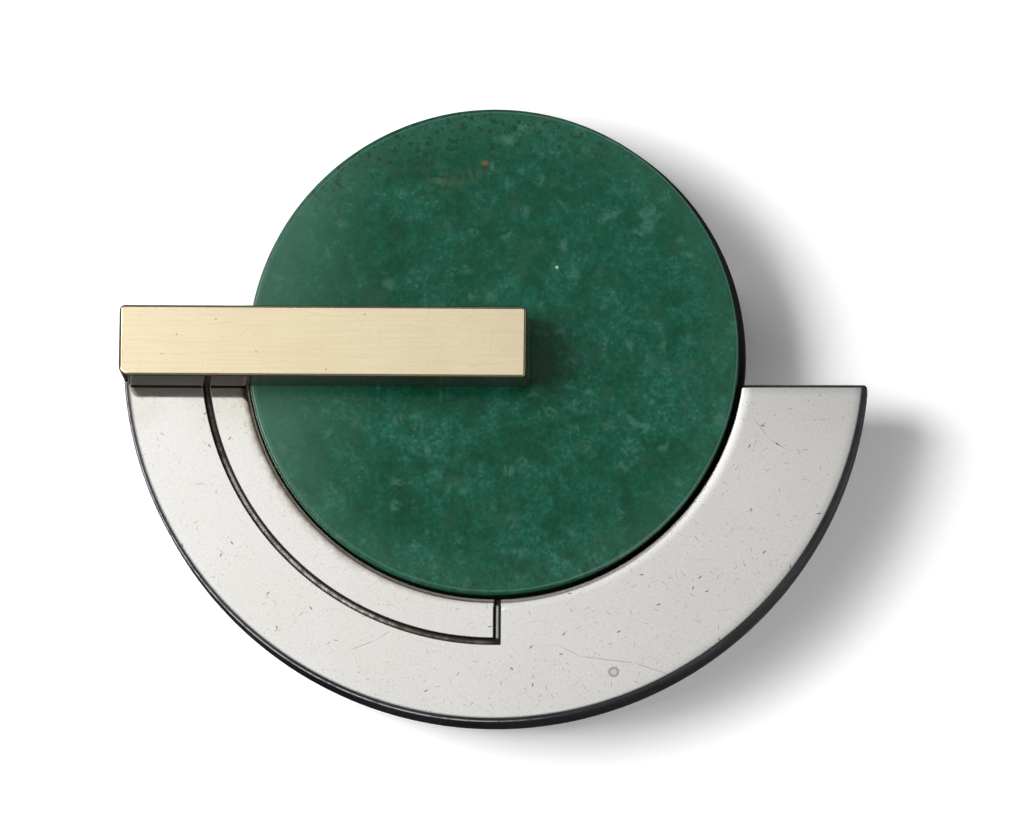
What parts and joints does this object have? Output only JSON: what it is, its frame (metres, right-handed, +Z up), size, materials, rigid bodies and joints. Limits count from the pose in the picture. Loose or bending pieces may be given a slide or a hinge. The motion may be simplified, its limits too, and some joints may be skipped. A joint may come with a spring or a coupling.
{
  "type": "brooch",
  "caption": "Modernist brooch: a round green stone disc on a silver crescent, crossed by a square gold bar, with a hinged needle and a sliding tube catch behind.",
  "frame": {"origin": "the point where the stone disc's axis meets the rear of the back plate, the side that lies against the cloth", "axes": "the brooch stands upright as it is worn: its face looks towards -Y and its cloth side towards +Y, +X is to the viewer's right along the gold bar and needle, +Z is up"},
  "size_m": [0.0606, 0.0145, 0.0506],
  "materials": {
    "stone": "polished green hardstone with cloudy paler flecks",
    "silver": "polished silver with fine hairline scratches and small pits",
    "silver_back": "satin silver, lightly tarnished",
    "gold": "pale gold, finely brushed along its length",
    "cement": "set jeweller's cement, matt",
    "steel": "drawn and polished needle wire"
  },
  "bodies": {
    "brooch_body": {"stone_disc": "stone", "cement_bed": "cement", "stone_seat": "silver_back", "crescent_shell": "silver", "inner_band": "silver", "back_plate": "silver_back", "gold_bar_shell": "gold", "gold_bar_floor": "gold", "bar_spacer": "gold", "centre_peg": "silver_back", "end_peg": "silver_back", "peg_washers": "silver_back", "peg_nuts": "silver_back", "hinge_plate": "silver_back", "hinge_ears": "silver_back", "hinge_rivet": "silver_back", "catch_plate": "silver_back", "catch_cradle": "silver_back", "catch_guide_tube": "silver_back"},
    "needle_arm": {"pin_knuckle": "silver_back", "needle": "steel"},
    "locking_tube": {"catch_slider": "silver_back", "catch_knob": "silver_back"}
  },
  "joints": [
    {"name": "pin_hinge", "type": "hinge", "parent": "brooch_body", "child": "needle_arm", "pos_m": [-0.0152, 0.0025, 0.0065], "axis": [0, 0, 1], "range_deg": [0, 100]},
    {"name": "catch_slide", "type": "slide", "parent": "brooch_body", "child": "locking_tube", "axis": [-1, 0, 0], "range_m": [0, 0.0024]}
  ]
}
